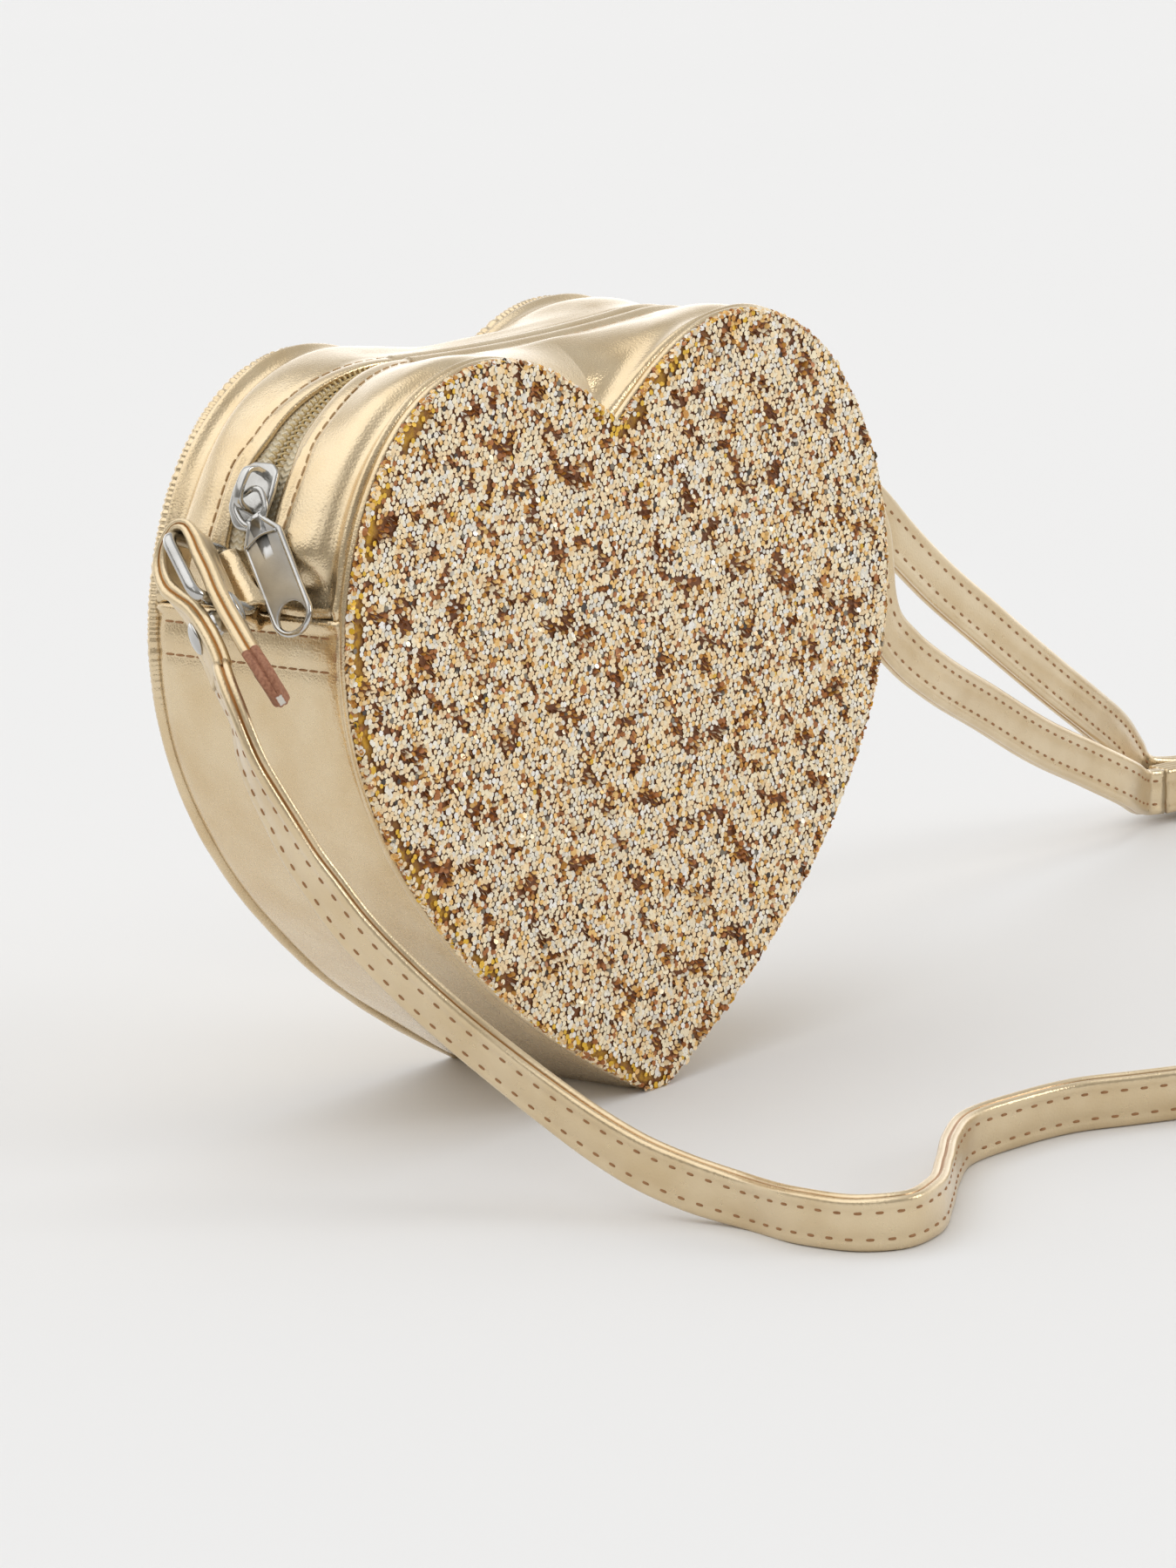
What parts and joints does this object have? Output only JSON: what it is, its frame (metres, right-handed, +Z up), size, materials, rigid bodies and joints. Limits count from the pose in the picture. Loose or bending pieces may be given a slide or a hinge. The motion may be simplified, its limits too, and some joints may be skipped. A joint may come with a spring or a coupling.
{
  "type": "heart shaped purse",
  "caption": "Small heart shaped purse with a glitter front, gold leather sides, a zip over the lobes, ring tabs and a thin adjustable strap lying on the floor.",
  "frame": {"origin": "middle of the flat foot at the heart's tip, on the floor, at mid depth", "axes": "+X along the width of the heart, to the right seen from the front; -Y faces the front with the glitter; +Z up"},
  "size_m": [0.3758, 0.1905, 0.1332],
  "materials": {
    "glitter": "chunky champagne glitter in clear resin on cloth",
    "gold_leather": "metallic pale gold coated leather with a satin sheen",
    "lining": "plain woven cream cloth",
    "board": "plain stiff board",
    "tape": "woven gold zip tape",
    "coil": "gold nylon coil",
    "nickel": "polished nickel plate"
  },
  "bodies": {
    "bag": {"front_glitter_panel": "glitter", "front_stiffener_board": "board", "front_lining": "lining", "front_piping": "gold_leather", "back_panel": "gold_leather", "back_stiffener_board": "board", "back_lining": "lining", "back_piping": "gold_leather", "lower_gusset": "gold_leather", "lower_gusset_lining": "lining", "top_gusset_front": "gold_leather", "top_gusset_back": "gold_leather", "top_lining_front": "lining", "top_lining_back": "lining", "zip_tape_front": "tape", "zip_tape_back": "tape", "zip_coil_front": "coil", "zip_coil_back": "coil", "zip_end_stops": "nickel", "tab_left": "gold_leather", "tab_right": "gold_leather", "strap_long": "gold_leather", "strap_upper_band": "gold_leather", "strap_lower_band": "gold_leather", "slide_buckle": "nickel", "slide_end_loop": "gold_leather", "slide_rivet": "nickel"},
    "slider": {"zip_slider": "nickel"},
    "puller": {"zip_puller": "nickel"},
    "left_ring": {"ring_left": "nickel", "strap_end_loop": "gold_leather", "strap_rivet": "nickel"},
    "right_ring": {"ring_right": "nickel", "strap_turn": "gold_leather"}
  },
  "joints": [
    {"name": "zip_travel", "type": "hinge", "parent": "bag", "child": "slider", "pos_m": [-0.0329, 0, 0.0952], "axis": [0, 1, 0], "range_deg": [0, 58]},
    {"name": "puller_swing", "type": "hinge", "parent": "slider", "child": "puller", "pos_m": [-0.0689, -0.0016, 0.11515], "axis": [-0.2939, 0.809, -0.509], "range_deg": [0, 110], "deforming": ["strap_end_loop", "strap_rivet"]},
    {"name": "left_ring_swing", "type": "hinge", "parent": "bag", "child": "left_ring", "pos_m": [-0.07323, -0.00248, 0.10225], "axis": [0.2418, 0.7071, 0.6645], "range_deg": [-20, 25], "deforming": ["strap_long"]},
    {"name": "right_ring_swing", "type": "hinge", "parent": "bag", "child": "right_ring", "pos_m": [0.0755, 0, 0.1015], "axis": [0.4545, -0.7071, 0.5417], "range_deg": [-25, 25], "deforming": ["strap_upper_band", "strap_lower_band"]}
  ]
}
